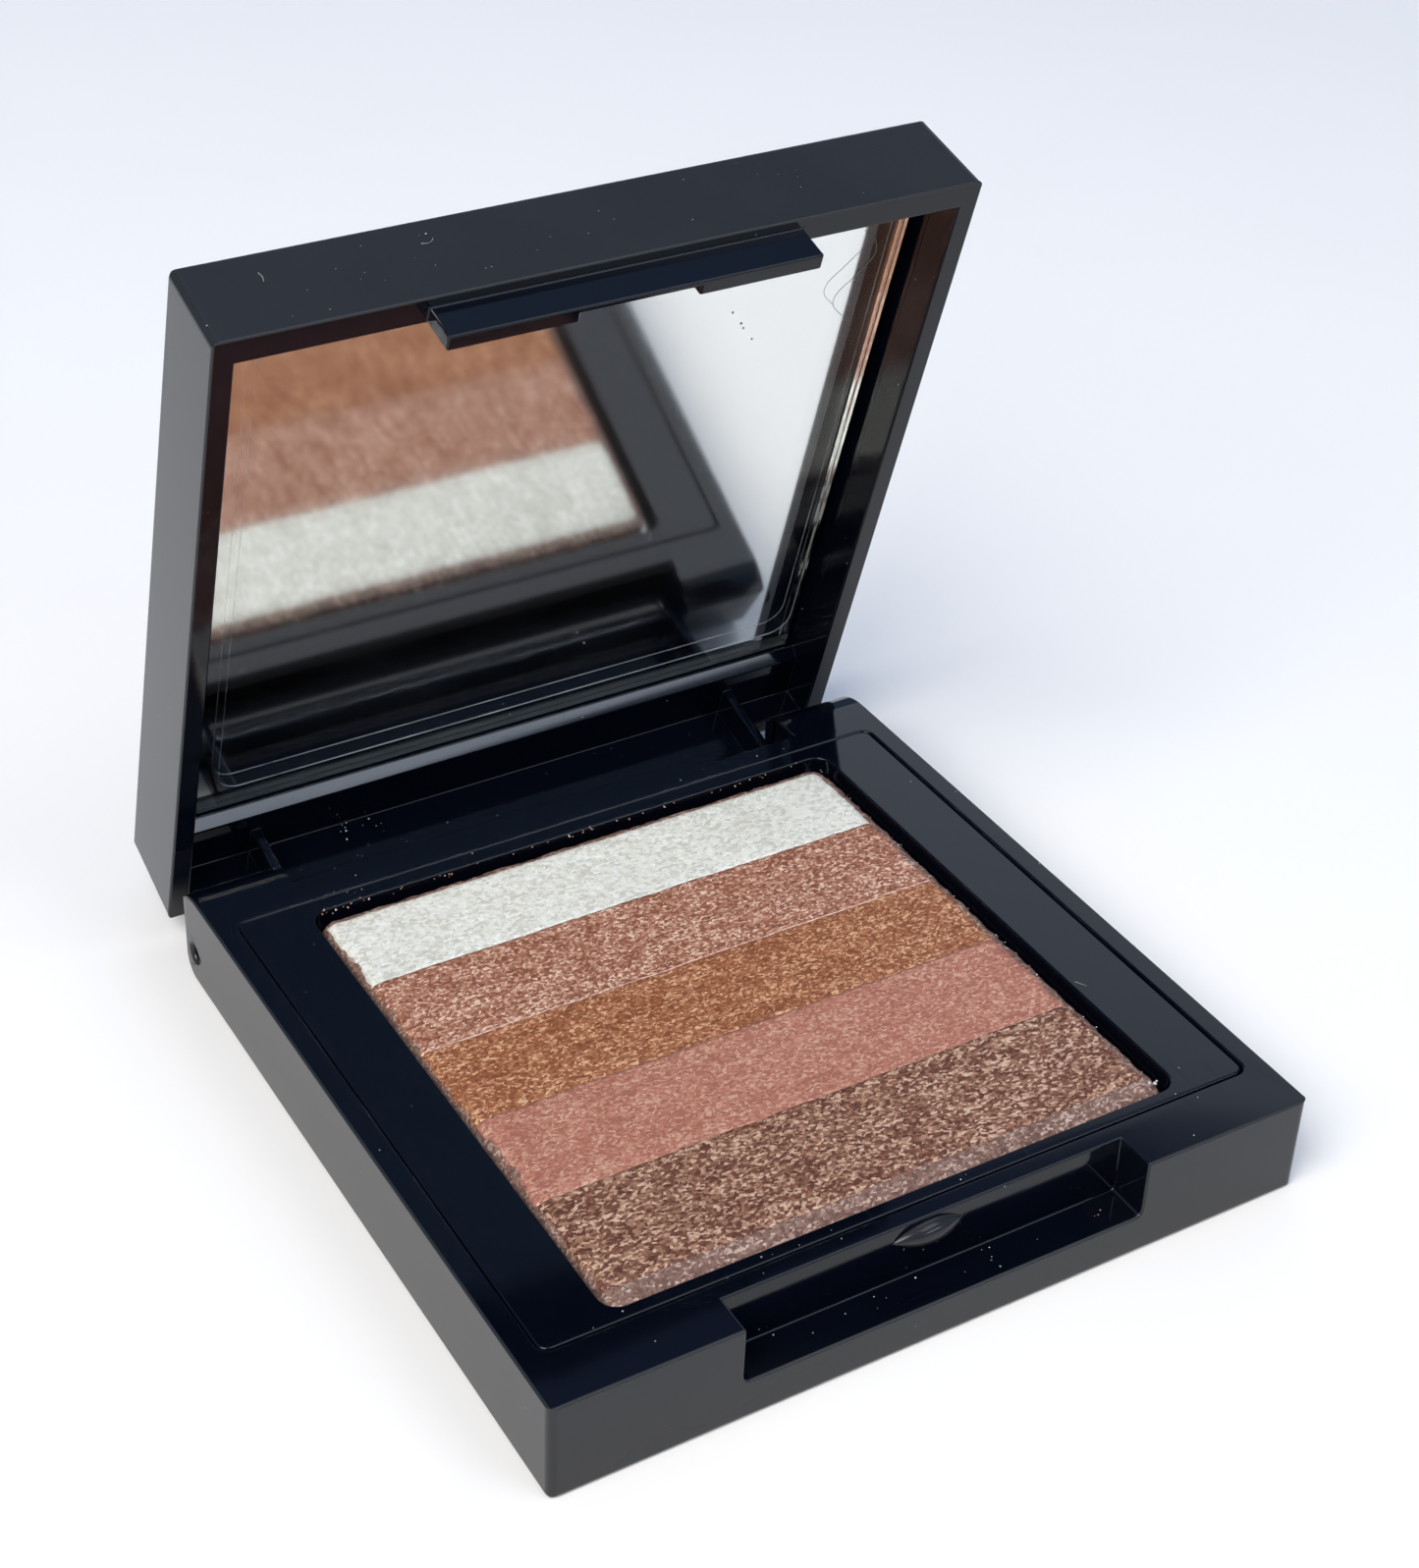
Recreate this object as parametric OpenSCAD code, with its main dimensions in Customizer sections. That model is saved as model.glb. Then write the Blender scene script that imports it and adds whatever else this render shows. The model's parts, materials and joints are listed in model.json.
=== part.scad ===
// Square pressed-powder palette: a flat two-part case with a mirror in the lid,
// shown open. Origin at the centre of the base's bottom face, front towards -Y.
// The lid and what it carries are drawn closed and then turned about the hinge.

/* [Case] */
// Width of the closed case
case_w = 64; // [62:0.5:70]
// Depth of the closed case, front to back
case_d = 63.6; // [62:0.2:70]
// Height of the base
base_h = 8.5; // [8:0.1:10]
// Thickness of the lid
lid_t = 8.5; // [8:0.1:10]
// Radius of the upright corners
corner_r = 0.7; // [0.4:0.1:1.5]
// Radius of the outer bottom and top edges
edge_r = 0.5; // [0.3:0.1:0.8]

/* [Base] */
// Thickness of the side walls
wall = 1.9; // [1.6:0.1:2.2]
// Thickness of the bottom
floor_t = 1.3; // [1:0.1:1.5]
// Distance from the front face to the deck plate
deck_front = 4.75; // [4.5:0.05:5.5]
// Distance from the rear face to the deck plate
deck_rear = 6.9; // [6.8:0.1:7.5]
// Thickness of the deck plate
deck_t = 1.6; // [1.2:0.1:1.8]

/* [Finger notch] */
// Width of the notch in the front
notch_w = 34; // [33:0.5:36]
// Depth of the notch
notch_d = 3.3; // [3:0.1:3.4]
// Height of the notch floor above the bottom
notch_z = 3.5; // [3:0.1:4]
// How far the snap bead stands out of the notch's back wall
bead_out = 0.95; // [0.6:0.05:1]

/* [Powder] */
// Width of the well that holds the pan
well_w = 48.8; // [47:0.2:49]
// Depth of the well, front to back
well_d = 49.2; // [47:0.2:49.2]
// Thickness of the pan's sheet metal
pan_t = 0.3; // [0.2:0.05:0.4]
// How far the powder stays below the deck
powder_drop = 0.2; // [0:0.05:0.4]

/* [Hinge] */
// Radius of the hinge pins
pin_r = 0.9; // [0.7:0.05:1]
// Length of a hinge pin
pin_len = 15; // [12:0.5:15]
// Height of the hinge axis above the bottom
pin_z = 2.93; // [2.9:0.01:3.2]
// Distance of the hinge axis from the rear face
pin_back = 2.25; // [2.2:0.01:2.4]
// Width of each of the base's two hinge ears
ear_w = 8.25; // [8:0.05:10]
// How far the lid stands open
lid_open = 73.6; // [0:0.2:92]

/* [Lid] */
// Width of the rims beside the mirror
side_rim = 1.8; // [1.6:0.1:2]
// Width of the rim at the free end
end_rim = 2.35; // [2.35:0.05:2.5]
// Depth of the hollow between the rims, down to the mirror
mirror_depth = 4.35; // [4:0.05:4.6]
// Thickness of the mirror's glass
glass_t = 1.2; // [1:0.1:1.4]
// Width of the catch tab
tab_w = 31.2; // [30:0.2:32]
// How far the catch tab reaches below the rims
tab_out = 3.2; // [2.8:0.1:3.4]

/* [Hidden] */
$fn = 64;

over = 1;                       // how far a cutting solid runs past a face
fit_gap = 0.15;                 // play round the deck tray
half_w = case_w / 2;
half_d = case_d / 2;
top_z = base_h + lid_t;         // outer face of the closed lid

// Deck plate and the pocket that it sits in
deck_y0 = -half_d + deck_front;
deck_y1 = half_d - deck_rear;
deck_z = base_h - deck_t;
deck_shift = -0.08;             // the tray sits a little to the left, so its right gap is wider
deck_r = 0.8;
deck_play = 0.1;
ledge = 1.1;
rear_ledge = 0.5;
well_floor_t = 1;
well_wall = 1;
well_end_wall = 0.95;
well_floor_z = 4.4;
well_margin = 1.2;              // from the deck pocket's front to the well
well_y0 = deck_y0 + well_margin;
well_y1 = well_y0 + well_d;

// Pan and powder
glue_t = 0.15;
glue_r = 4;
glue_spread = 14;
pan_r = 1.5;
pan_gap_left = 0.1;
pan_gap_right = 0.4;
pan_gap_front = 0.1;
pan_gap_rear = 0.3;
pan_x0 = -well_w / 2 + pan_gap_left;
pan_x1 = well_w / 2 - pan_gap_right;
pan_y0 = well_y0 + pan_gap_front;
pan_y1 = well_y1 - pan_gap_rear;
pan_z = well_floor_z + glue_t;
pan_rim_z = 6.6;
pan_mid_y = (pan_y0 + pan_y1) / 2;
cake_gap_left = 0.2;
cake_gap_right = 0.7;
cake_gap_front = 0.15;
cake_gap_rear = 0.7;
cake_x0 = pan_x0 + cake_gap_left;
cake_x1 = pan_x1 - cake_gap_right;
cake_y0 = pan_y0 + cake_gap_front;
cake_y1 = pan_y1 - cake_gap_rear;
cake_r = 1.6;
crust_left = 0.7;
crust_right = 0.4;
crust_front = 1.5;
crust_rear = 0.4;
crust_drop = 0.35;              // how far the crust stays below the stripes
powder_z0 = 6.9;
powder_z1 = base_h - powder_drop;
crust_z1 = powder_z1 - crust_drop;
stripe_x0 = cake_x0 + crust_left;
stripe_x1 = cake_x1 - crust_right;
stripe_y0 = cake_y0 + crust_front;
stripe_y1 = cake_y1 - crust_rear;
// Where the stripes end, as shares of the powder's depth from the front
stripe_ends = [0, 0.215, 0.421, 0.612, 0.809, 1];

// Snap bead
bead_half = 3.05;
bead_low = 1.4;                 // from the deck down to the bead's axis
bead_z = base_h - bead_low;
bead_root = 0.1;                // how far the bead's back is sunk in the wall

// Hinge
pin_y = half_d - pin_back;
ear_x = half_w - ear_w;         // inner face of an ear
recess_d = 4.8;                 // depth of the recess between the ears
recess_y = half_d - recess_d;
ear_round = 5;                  // radius of the ears' top towards the rear
ear_back = 3.2;                 // from that radius's centre to the rear face
heel_round = 2;                 // radius of the ears' bottom towards the rear
pin_set_in = 1;                 // how far a pin's end stays inside the ear
knuckle_gap = 0.2;              // play between the lid's knuckle and an ear
running = 0.04;                 // radial play of a pin in the knuckle
knuckle_x = ear_x - knuckle_gap;
knuckle_root = 0.5;             // how far the knuckle reaches into the lid's floor
slope_d = 0.85;                 // depth of the sloped edge between the mirror and the ledge
slope_h = 0.91;                 // height of that slope
rib_t = 0.9;                    // thickness of the ribs at the knuckle's ends
rib_d = 2.7;                    // how far those ribs stand out in front of the web
bore_len = 9;

// Lid, in the closed position
rim_y0 = -half_d + end_rim;
inner_x = half_w - side_rim;
mirror_z = base_h + mirror_depth;
mirror_sunk = 1.15;             // how far the mirror lies below the ledge beside the hinge
ledge_z = mirror_z - mirror_sunk;
ledge_d = 7.05;                 // from the rear face to the mirror
mirror_y1 = half_d - ledge_d;
rear_rim = 1.8;
rear_rim_low = 0.7;             // how much lower the rim is at the hinge
rear_wall_y = half_d - rear_rim;
rear_wall_z = base_h + rear_rim_low;
glass_gap = 0.7;
silver_t = 0.1;
tape_t = 0.85;
tape_inset = 3;
mirror_play = 0.1;
pocket_z = mirror_z + glass_t + silver_t + tape_t;
tab_set_back = 0.95;
tab_recess_w = 10;
tab_recess_y = 1.5;             // from the free end to the recess in the tab
tab_recess_top = 0.3;

// Protective film, laid a little off centre
film_t = 0.08;
film_x0 = -26.5;
film_x1 = 29;
film_y0 = rim_y0 + 1.5;
film_y1 = mirror_y1 - 2.5;
film_r = 2;

// Label
label_w = 30;
label_d = 18;
label_t = 0.1;
label_pocket = 0.2;
label_r = 1;
label_play = 0.2;

// A rectangle from corner to corner with rounded corners
module rounded_rect(x0, y0, x1, y1, r) {
    translate([x0 + r, y0]) square([x1 - x0 - 2 * r, y1 - y0]);
    translate([x0, y0 + r]) square([x1 - x0, y1 - y0 - 2 * r]);
    for (x = [x0 + r, x1 - r], y = [y0 + r, y1 - r])
        translate([x, y]) circle(r);
}

// A plate with upright rounded corners, from z0 to z1
module rounded_plate(x0, y0, x1, y1, r, z0, z1) {
    translate([0, 0, z0]) linear_extrude(z1 - z0) rounded_rect(x0, y0, x1, y1, r);
}

// A block given by two opposite corners
module block(a, b) {
    translate(a) cube(b - a);
}

// Turns a drawing in the YZ plane into a solid along X
module along_x(x0, x1) {
    translate([x0, 0, 0]) rotate([90, 0, 90]) linear_extrude(x1 - x0) children();
}

// Turns a drawing in the XZ plane into a solid along Y
module along_y(y0, y1) {
    translate([0, y1, 0]) rotate([90, 0, 0]) linear_extrude(y1 - y0) children();
}

// Half of a stadium: a rectangle whose two lower corners are rounded
module round_bottom(x0, x1, z0, z1, r) {
    translate([x0, z0 + r]) square([x1 - x0, z1 - z0 - r]);
    translate([x0 + r, z0]) square([x1 - x0 - 2 * r, r]);
    for (x = [x0 + r, x1 - r])
        translate([x, z0 + r]) circle(r);
}

// Moves what is drawn closed to the lid's open position
module opened() {
    translate([0, pin_y, pin_z]) rotate([-lid_open, 0, 0])
        translate([0, -pin_y, -pin_z]) children();
}

// Outline of the base from the side, with the ears' rounded rear end
module base_side() {
    round_bottom(-half_d, half_d - heel_round, 0, base_h - ear_round, edge_r);
    translate([-half_d, edge_r]) square([case_d - ear_back, base_h - edge_r]);
    translate([half_d - 2 * heel_round, 0]) square(heel_round);
    translate([half_d - heel_round, heel_round]) circle(heel_round);
    intersection() {
        translate([half_d - ear_back, base_h - ear_round]) circle(ear_round);
        translate([half_d - ear_back - over, heel_round])
            square([ear_back + over, base_h - heel_round]);
    }
}

// The base as a solid block with its outer shape
module base_block() {
    intersection() {
        rounded_plate(-half_w, -half_d, half_w, half_d, corner_r, 0, base_h);
        along_x(-half_w, half_w) base_side();
        along_y(-half_d, half_d) round_bottom(-half_w, half_w, 0, base_h, edge_r);
    }
}

// Bead on the notch's back wall that the lid's tab snaps over
module snap_bead() {
    bead_curve = (bead_half * bead_half + bead_out * bead_out) / (2 * bead_out);
    wall_y = -half_d + notch_d;
    intersection() {
        translate([0, wall_y - bead_out + bead_curve, 0]) cylinder(r = bead_curve, h = base_h);
        translate([-bead_half, wall_y + bead_root, bead_z]) rotate([0, 90, 0])
            cylinder(r = bead_out + bead_root, h = 2 * bead_half);
    }
}

module base_shell() {
    color([0.05, 0.055, 0.06]) union() {
        difference() {
            base_block();
            // pocket for the deck plate, and the hollow below it
            rounded_plate(-half_w + wall, deck_y0, half_w - wall, deck_y1, deck_r + fit_gap,
                deck_z, base_h + over);
            block([-half_w + wall + ledge, deck_y0, floor_t],
                [half_w - wall - ledge, deck_y1 - rear_ledge, deck_z + over]);
            // recess for the lid's knuckle
            block([-ear_x, recess_y, -over], [ear_x, half_d + over, base_h + over]);
            // finger notch
            along_y(-half_d - over, -half_d + notch_d)
                round_bottom(-notch_w / 2, notch_w / 2, notch_z, base_h + over, edge_r);
            // holes for the hinge pins
            translate([-half_w - over, pin_y, pin_z]) rotate([0, 90, 0])
                cylinder(r = pin_r, h = case_w + 2 * over);
            // pocket for the label
            rounded_plate(-label_w / 2, -label_d / 2, label_w / 2, label_d / 2, label_r,
                -over, label_pocket);
        }
        snap_bead();
    }
}

module deck_tray() {
    x0 = -half_w + wall + fit_gap + deck_shift;
    x1 = half_w - wall - fit_gap + deck_shift;
    y0 = deck_y0 + deck_play;
    y1 = deck_y1 - deck_play;
    color([0.03, 0.035, 0.05]) difference() {
        union() {
            rounded_plate(x0, y0, x1, y1, deck_r, deck_z, base_h);
            block([-well_w / 2 - well_wall, y0, well_floor_z - well_floor_t],
                [well_w / 2 + well_wall, well_y1 + well_end_wall, deck_z]);
        }
        rounded_plate(-well_w / 2, well_y0, well_w / 2, well_y1, pan_r, well_floor_z,
            base_h + over);
    }
}

module pan() {
    color([0.6, 0.6, 0.62]) difference() {
        rounded_plate(pan_x0, pan_y0, pan_x1, pan_y1, pan_r, pan_z, pan_rim_z);
        rounded_plate(pan_x0 + pan_t, pan_y0 + pan_t, pan_x1 - pan_t, pan_y1 - pan_t,
            pan_r - pan_t, pan_z + pan_t, pan_rim_z + over);
    }
}

module pan_glue() {
    color([0.85, 0.83, 0.75])
        for (x = [-glue_spread, glue_spread], y = [-glue_spread, glue_spread])
            translate([x, pan_mid_y + y, well_floor_z]) cylinder(r = glue_r, h = glue_t);
}

// Backing layer of pressed powder, whose rim shows as a crust round the stripes
module powder_base() {
    color([0.72, 0.56, 0.53]) difference() {
        union() {
            rounded_plate(pan_x0 + pan_t, pan_y0 + pan_t, pan_x1 - pan_t, pan_y1 - pan_t,
                pan_r - pan_t, pan_z + pan_t, pan_rim_z);
            rounded_plate(cake_x0, cake_y0, cake_x1, cake_y1, cake_r, pan_rim_z, crust_z1);
        }
        block([stripe_x0, stripe_y0, powder_z0], [stripe_x1, stripe_y1, crust_z1 + over]);
    }
}

// One stripe of pressed powder, numbered from the front
module stripe(i) {
    depth = stripe_y1 - stripe_y0;
    block([stripe_x0, stripe_y0 + stripe_ends[i] * depth, powder_z0],
        [stripe_x1, stripe_y0 + stripe_ends[i + 1] * depth, powder_z1]);
}

module powder_taupe() color([0.45, 0.32, 0.27]) stripe(0);
module powder_pink() color([0.68, 0.44, 0.4]) stripe(1);
module powder_bronze() color([0.62, 0.4, 0.23]) stripe(2);
module powder_rose() color([0.67, 0.45, 0.38]) stripe(3);
module powder_pearl() color([0.87, 0.86, 0.82]) stripe(4);

module hinge_pin(side) {
    x0 = side < 0 ? -half_w + pin_set_in : half_w - pin_set_in - pin_len;
    color([0.75, 0.75, 0.78]) translate([x0, pin_y, pin_z]) rotate([0, 90, 0])
        cylinder(r = pin_r, h = pin_len);
}

module hinge_pin_left() hinge_pin(-1);
module hinge_pin_right() hinge_pin(1);

module base_label() {
    color([0.9, 0.9, 0.88]) rounded_plate(
        -label_w / 2 + label_play, -label_d / 2 + label_play,
        label_w / 2 - label_play, label_d / 2 - label_play,
        label_r - label_play, label_pocket - label_t, label_pocket);
}

// The lid's outer block, with its top edges rounded
module lid_block() {
    intersection() {
        rounded_plate(-half_w, -half_d, half_w, half_d, corner_r, base_h, top_z);
        along_y(-half_d, half_d) translate([0, base_h + top_z]) mirror([0, 1])
            round_bottom(-half_w, half_w, base_h, top_z, edge_r);
        along_x(-half_w, half_w) translate([0, base_h + top_z]) mirror([0, 1])
            round_bottom(-half_d, half_d, base_h, top_z, edge_r);
    }
}

// Catch tab that reaches down into the finger notch
module catch_tab() {
    y0 = -half_d + tab_set_back;
    difference() {
        block([-tab_w / 2, y0, base_h - tab_out], [tab_w / 2, rim_y0, base_h]);
        block([-tab_recess_w / 2, -half_d + tab_recess_y, base_h - tab_out - over],
            [tab_recess_w / 2, rim_y0 + over, base_h - tab_recess_top]);
    }
}

module lid_shell() {
    color([0.05, 0.055, 0.06]) opened() difference() {
        union() {
            difference() {
                lid_block();
                // pocket for the mirror, and the shallower area beside the hinge
                block([-inner_x, rim_y0, base_h - over], [inner_x, mirror_y1, pocket_z]);
                block([-inner_x, rim_y0, base_h - over], [inner_x, rear_wall_y, ledge_z]);
                // sloped edge between the mirror and the ledge
                along_x(-inner_x, inner_x) polygon([
                    [mirror_y1 - over, ledge_z - over], [mirror_y1 + slope_d, ledge_z - over],
                    [mirror_y1 + slope_d, ledge_z], [mirror_y1, ledge_z + slope_h],
                    [mirror_y1 - over, ledge_z + slope_h]]);
                block([-inner_x, rear_wall_y - over, base_h - over],
                    [inner_x, half_d + over, rear_wall_z]);
            }
            // knuckle between the base's ears: a web below the rear wall, its end ribs, and a barrel
            block([-knuckle_x, rear_wall_y, pin_z], [knuckle_x, half_d, ledge_z + knuckle_root]);
            for (x = [-knuckle_x, knuckle_x - rib_t])
                block([x, rear_wall_y - rib_d, pin_z], [x + rib_t, half_d, ledge_z + knuckle_root]);
            translate([-knuckle_x, pin_y, pin_z]) rotate([0, 90, 0])
                cylinder(r = pin_back, h = 2 * knuckle_x);
            catch_tab();
        }
        // bores that run on the hinge pins
        for (x = [-knuckle_x - over, knuckle_x + over - bore_len])
            translate([x, pin_y, pin_z]) rotate([0, 90, 0])
                cylinder(r = pin_r + running, h = bore_len);
    }
}

module mirror_glass() {
    color([0.8, 0.85, 0.87, 0.4]) opened()
        block([-inner_x + glass_gap, rim_y0 + mirror_play, mirror_z],
            [inner_x - glass_gap, mirror_y1 - mirror_play, mirror_z + glass_t]);
}

module mirror_silver() {
    color([0.85, 0.87, 0.88]) opened()
        block([-inner_x + glass_gap, rim_y0 + mirror_play, mirror_z + glass_t],
            [inner_x - glass_gap, mirror_y1 - mirror_play, mirror_z + glass_t + silver_t]);
}

module mirror_tape() {
    color([0.2, 0.2, 0.2]) opened()
        block([-inner_x + tape_inset, rim_y0 + tape_inset, pocket_z - tape_t],
            [inner_x - tape_inset, mirror_y1 - tape_inset, pocket_z]);
}

module mirror_film() {
    color([0.9, 0.93, 0.95, 0.3]) opened()
        rounded_plate(film_x0, film_y0, film_x1, film_y1, film_r, mirror_z - film_t, mirror_z);
}

base_shell();
deck_tray();
pan();
pan_glue();
powder_base();
powder_pearl();
powder_rose();
powder_bronze();
powder_pink();
powder_taupe();
hinge_pin_left();
hinge_pin_right();
base_label();
lid_shell();
mirror_glass();
mirror_silver();
mirror_tape();
mirror_film();
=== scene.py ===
# %% [markdown]
# # A pressed-powder palette, dressed in Blender
# The case is a flat square box of black plastic, with a mirror in its hinged lid and five stripes of
# shimmer powder pressed into a tin pan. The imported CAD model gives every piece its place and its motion.
# Each lesson below takes one piece or one finish, says what it is on the real object, how it could be
# made, and why it is made this way here.

import json
import math
import random

import bmesh
import bpy
from mathutils import Matrix, Vector, noise


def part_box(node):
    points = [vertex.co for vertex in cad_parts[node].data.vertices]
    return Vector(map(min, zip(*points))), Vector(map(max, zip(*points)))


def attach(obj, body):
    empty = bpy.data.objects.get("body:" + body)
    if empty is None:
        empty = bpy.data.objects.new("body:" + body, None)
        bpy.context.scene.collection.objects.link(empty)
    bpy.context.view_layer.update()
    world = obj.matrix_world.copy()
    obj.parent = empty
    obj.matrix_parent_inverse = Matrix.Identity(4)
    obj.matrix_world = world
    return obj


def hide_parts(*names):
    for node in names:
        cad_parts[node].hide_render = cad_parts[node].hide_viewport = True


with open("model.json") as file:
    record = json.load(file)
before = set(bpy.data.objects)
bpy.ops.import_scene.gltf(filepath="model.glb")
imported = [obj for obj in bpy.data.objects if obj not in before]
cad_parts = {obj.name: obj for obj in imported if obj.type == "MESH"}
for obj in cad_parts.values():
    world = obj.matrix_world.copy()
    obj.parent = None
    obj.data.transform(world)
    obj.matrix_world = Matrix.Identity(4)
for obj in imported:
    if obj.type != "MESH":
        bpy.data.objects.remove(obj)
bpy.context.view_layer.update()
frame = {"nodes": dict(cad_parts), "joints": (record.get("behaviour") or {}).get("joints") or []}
MM = 0.001
print("CAD nodes:", ", ".join(sorted(frame["nodes"])))

# %% [markdown]
# ## Where the pieces are
# Sizes could be typed in again for Blender, but then they could drift from the CAD model. Most of
# them are read back from the frame instead: the box of a node at rest gives the case, the deck plate, the
# stripes and the cake, and the joint gives the hinge line and how far the lid stands open. All modelling
# below is done in millimetres, because bevels and cuts have tolerances that suit numbers near 1, and every
# finished mesh is scaled to metres once. The lid is modelled lying closed, and then turned open.

# %% Read the sizes from the frame
def box_mm(node):
    """Lowest and highest corner of a CAD node at rest, in millimetres."""
    low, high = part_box(node)
    return low / MM, high / MM


base_low, base_high = box_mm("base_shell")
half_w = base_high.x
half_d = base_high.y
base_h = base_high.z
lid_h = 8.5
top_z = base_h + lid_h
hinge = frame["joints"][0]
hinge_y = hinge["pos_m"][1] / MM
hinge_z = hinge["pos_m"][2] / MM
lid_angle = math.radians(-hinge["range_deg"][0])
hinge_point = Vector((0, hinge_y, hinge_z))
opened = (
    Matrix.Translation(hinge_point)
    @ Matrix.Rotation(-lid_angle, 4, "X")
    @ Matrix.Translation(-hinge_point)
)
print(f"case {2 * half_w:.1f} x {2 * half_d:.1f} mm, lid open {math.degrees(lid_angle):.1f} degrees")

# %% [markdown]
# ## Camera
# The palette is seen from its front left corner and from above. A camera in Blender looks along its own
# -Z axis, so its three axes are worked out from the azimuth, the elevation and the roll and become the
# columns of its matrix. The framing is off centre, which the lens shift gives without changing the
# perspective.

# %% Camera
AZIMUTH = math.radians(-30.705)
ELEVATION = math.radians(30.382)
ROLL = math.radians(1.741)
EYE = Vector((-94.324, -146.688, 149.028))
LENS = 65.4
SENSOR = 36
SHIFT_X = 0.0354
SHIFT_Y = -0.1431


def make_camera():
    """The camera at the viewing angle."""
    back = Vector((
        math.sin(AZIMUTH) * math.cos(ELEVATION),
        -math.cos(AZIMUTH) * math.cos(ELEVATION),
        math.sin(ELEVATION),
    ))
    level = Vector((0, 0, 1)).cross(back).normalized()
    upright = back.cross(level)
    right = math.cos(ROLL) * level + math.sin(ROLL) * upright
    up = back.cross(right)
    camera = bpy.data.objects.new("camera", bpy.data.cameras.new("camera"))
    bpy.context.scene.collection.objects.link(camera)
    camera.matrix_world = Matrix.Translation(EYE * MM) @ Matrix((right, up, back)).transposed().to_4x4()
    camera.data.sensor_width = SENSOR
    camera.data.lens = LENS
    camera.data.shift_x = SHIFT_X
    camera.data.shift_y = SHIFT_Y
    camera.data.clip_start = 0.01
    camera.data.clip_end = 20
    bpy.context.scene.camera = camera
    return camera


camera = make_camera()
bpy.context.scene.view_settings.view_transform = "Standard"
print("camera at", [round(v, 1) for v in EYE], "mm")

# %% [markdown]
# ## Shader maths as Python
# A material is a graph of nodes, and a graph built by hand-placed links is hard to read. Two small classes
# make it read like a sum. Value wraps one socket, and +, -, * and so on add the Math nodes. Finish
# wraps a material, and its method node() adds any other node from its type, its settings, and what goes
# into its sockets.

# %% Values and finishes
class Value:
    """A number that varies over a surface."""

    def __init__(self, finish, socket):
        self.finish = finish
        self.socket = socket

    def maths(self, operation, first, second=0.0):
        return self.finish.node("ShaderNodeMath", {"operation": operation}, {0: first, 1: second})

    def __add__(self, other):
        return self.maths("ADD", self, other)

    def __sub__(self, other):
        return self.maths("SUBTRACT", self, other)

    def __mul__(self, other):
        return self.maths("MULTIPLY", self, other)

    def __truediv__(self, other):
        return self.maths("DIVIDE", self, other)

    def __pow__(self, other):
        return self.maths("POWER", self, other)

    def __gt__(self, other):
        return self.maths("GREATER_THAN", self, other)

    def __lt__(self, other):
        return self.maths("LESS_THAN", self, other)

    def __rsub__(self, other):
        return self.maths("SUBTRACT", other, self)

    __radd__ = __add__
    __rmul__ = __mul__


class Finish:
    """A material with one Principled shader, and the node maker for what feeds it."""

    def __init__(self, name, **constants):
        self.material = bpy.data.materials.new(name)
        self.material.use_nodes = True
        self.tree = self.material.node_tree
        self.shader = self.tree.nodes["Principled BSDF"]
        for socket, value in constants.items():
            self.shader.inputs[socket.replace("_", " ")].default_value = value

    def node(self, kind, settings=None, values=None, output=0):
        """Adds a node: first its settings, then the values and links of its sockets."""
        made = self.tree.nodes.new(kind)
        for key, value in (settings or {}).items():
            if key == "stops":
                self.set_stops(made.color_ramp, value)
            else:
                setattr(made, key, value)
        for key, value in (values or {}).items():
            if isinstance(value, Value):
                self.tree.links.new(value.socket, made.inputs[key])
            else:
                made.inputs[key].default_value = value
        return Value(self, made.outputs[output])

    @staticmethod
    def set_stops(ramp, stops):
        while len(ramp.elements) < len(stops):
            ramp.elements.new(1)
        for element, (place, colour) in zip(ramp.elements, stops):
            element.position = place
            element.color = (*colour, 1)

    def feed(self, socket, value):
        """Links a value to one of the shader's sockets."""
        self.tree.links.new(value.socket, self.shader.inputs[socket])

    def place(self, stretch=(1, 1, 1)):
        """The surface's own coordinates in metres, stretched along X, Y and Z."""
        point = self.node("ShaderNodeTexCoord", output="Object")
        return self.node("ShaderNodeVectorMath", {"operation": "MULTIPLY"}, {0: point, 1: stretch})

    def noise(self, size, place, detail=2, rough=0.5):
        """Soft noise whose blotches are about that many millimetres wide."""
        return self.node(
            "ShaderNodeTexNoise",
            values={"Vector": place, "Scale": 1 / (size * MM), "Detail": detail, "Roughness": rough},
        )

    def cells(self, size, place, output="Distance"):
        """Small cells of about that many millimetres."""
        return self.node(
            "ShaderNodeTexVoronoi", values={"Vector": place, "Scale": 1 / (size * MM)}, output=output
        )

    def part_of(self, colour, number):
        """The red (0), green (1) or blue (2) part of a colour."""
        return self.node("ShaderNodeSeparateColor", values={"Color": colour}, output=number)

    def band(self, value, low, high):
        """0 below low, 1 above high, smooth between."""
        return self.node(
            "ShaderNodeMapRange",
            {"interpolation_type": "SMOOTHSTEP"},
            {"Value": value, "From Min": low, "From Max": high},
        )

    def mix(self, factor, first, second):
        """A colour between two colours."""
        values = {
            0: factor,
            6: first if isinstance(first, Value) else (*first, 1),
            7: second if isinstance(second, Value) else (*second, 1),
        }
        return self.node("ShaderNodeMix", {"data_type": "RGBA"}, values, output=2)

    def bump(self, height, depth, normal=None):
        """A normal tilted by a height from 0 to 1 that stands for depth millimetres."""
        values = {"Height": height, "Distance": depth * MM, "Strength": 1}
        if normal:
            values["Normal"] = normal
        return self.node("ShaderNodeBump", values=values)


print("shader classes are ready")

# %% [markdown]
# ## Floor and light
# The palette lies on a plain white table under soft light. Gloss black plastic has almost no colour of its
# own: what shows on it is the reflection of the room, so the room matters as much as the lamps. A single
# bright dome would grey every face alike. Here the dome is cool and dim, in soft bands from the horizon
# up, and four wide lamps stand round it: the strongest at the left, where the case's walls are the
# brightest, a low one in front that draws the pale band under the mirror, one behind, and a weak one above.

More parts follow.
